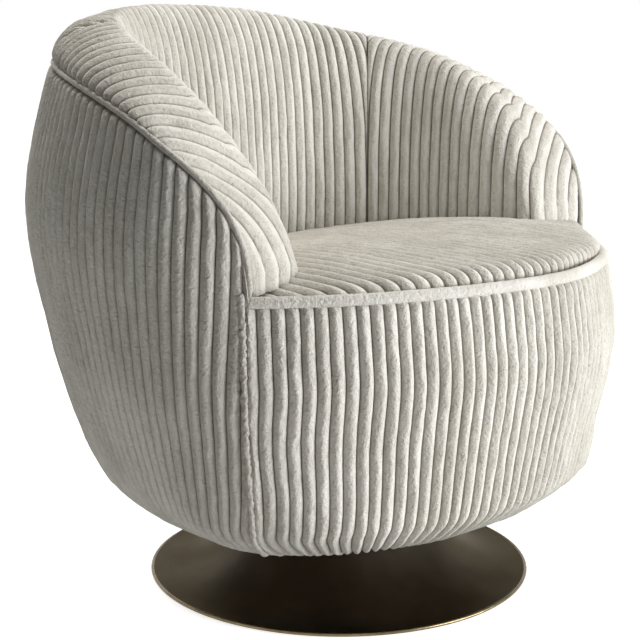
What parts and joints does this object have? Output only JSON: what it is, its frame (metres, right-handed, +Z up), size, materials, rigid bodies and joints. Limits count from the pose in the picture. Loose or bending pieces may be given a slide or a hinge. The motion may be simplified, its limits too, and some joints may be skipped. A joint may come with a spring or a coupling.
{
  "type": "swivel armchair",
  "caption": "Round upholstered swivel tub chair in wide-wale corduroy: a padded roll sweeps from low arms up to the back, over a crowned seat, on a trumpet-shaped metal pedestal.",
  "frame": {"origin": "on the floor, on the swivel axis, in the middle of the floor pad's underside", "axes": "+X to the sitter's left, from arm to arm; +Y towards the back; +Z up; the chair faces -Y"},
  "size_m": [0.8034, 0.6807, 0.72],
  "materials": {
    "cream_corduroy": "plush wide-wale corduroy, cream",
    "antique_bronze": "dark antique bronze plating, polished, with a bright rim",
    "plain_steel": "plain steel, satin",
    "zinc_plate": "zinc plated",
    "birch_plywood": "raw birch plywood",
    "grey_felt": "needled felt",
    "black_rubber": "matt"
  },
  "bodies": {
    "base": {"floor_pad": "black_rubber", "base_plate": "plain_steel", "base_column": "plain_steel", "base_cover": "antique_bronze", "lower_swivel_plate": "plain_steel", "centre_pin": "plain_steel", "base_bolt_1": "zinc_plate", "base_bolt_2": "zinc_plate", "base_bolt_3": "zinc_plate", "base_bolt_4": "zinc_plate"},
    "bearing_cage": {"ball_cage": "zinc_plate", "bearing_ball_1": "plain_steel", "bearing_ball_2": "plain_steel", "bearing_ball_3": "plain_steel", "bearing_ball_4": "plain_steel", "bearing_ball_5": "plain_steel", "bearing_ball_6": "plain_steel", "bearing_ball_7": "plain_steel", "bearing_ball_8": "plain_steel", "bearing_ball_9": "plain_steel", "bearing_ball_10": "plain_steel"},
    "seat": {"upper_swivel_plate": "plain_steel", "bottom_board": "birch_plywood", "seat_ring": "birch_plywood", "top_rail": "birch_plywood", "seat_deck": "grey_felt", "seat_bolt_1": "zinc_plate", "seat_bolt_2": "zinc_plate", "seat_bolt_3": "zinc_plate", "seat_bolt_4": "zinc_plate", "lower_rib_1": "birch_plywood", "lower_rib_2": "birch_plywood", "lower_rib_3": "birch_plywood", "lower_rib_4": "birch_plywood", "lower_rib_5": "birch_plywood", "lower_rib_6": "birch_plywood", "upper_rib_1": "birch_plywood", "upper_rib_2": "birch_plywood", "upper_rib_3": "birch_plywood", "upper_rib_4": "birch_plywood", "upper_rib_5": "birch_plywood", "arm_post_left": "birch_plywood", "arm_post_right": "birch_plywood", "seat_spring_1": "plain_steel", "seat_spring_2": "plain_steel", "seat_spring_3": "plain_steel", "seat_spring_4": "plain_steel", "seat_spring_5": "plain_steel", "spring_clip_front": "plain_steel", "spring_clip_back": "plain_steel", "outer_wrap": "cream_corduroy", "front_apron": "cream_corduroy", "inside_back": "cream_corduroy", "inside_wing_left": "cream_corduroy", "inside_wing_right": "cream_corduroy", "seat_cushion": "cream_corduroy", "seat_welt": "cream_corduroy", "roll_piping": "cream_corduroy"}
  },
  "joints": [
    {"name": "swivel", "type": "hinge", "parent": "base", "child": "seat", "pos_m": [0, 0, 0.1], "axis": [0, 0, 1], "continuous": true},
    {"name": "cage_spin", "type": "hinge", "parent": "base", "child": "bearing_cage", "pos_m": [0, 0, 0.1], "axis": [0, 0, 1], "continuous": true}
  ],
  "couplings": [
    {"joint": "cage_spin", "follows": "swivel", "ratio": 0.5}
  ]
}
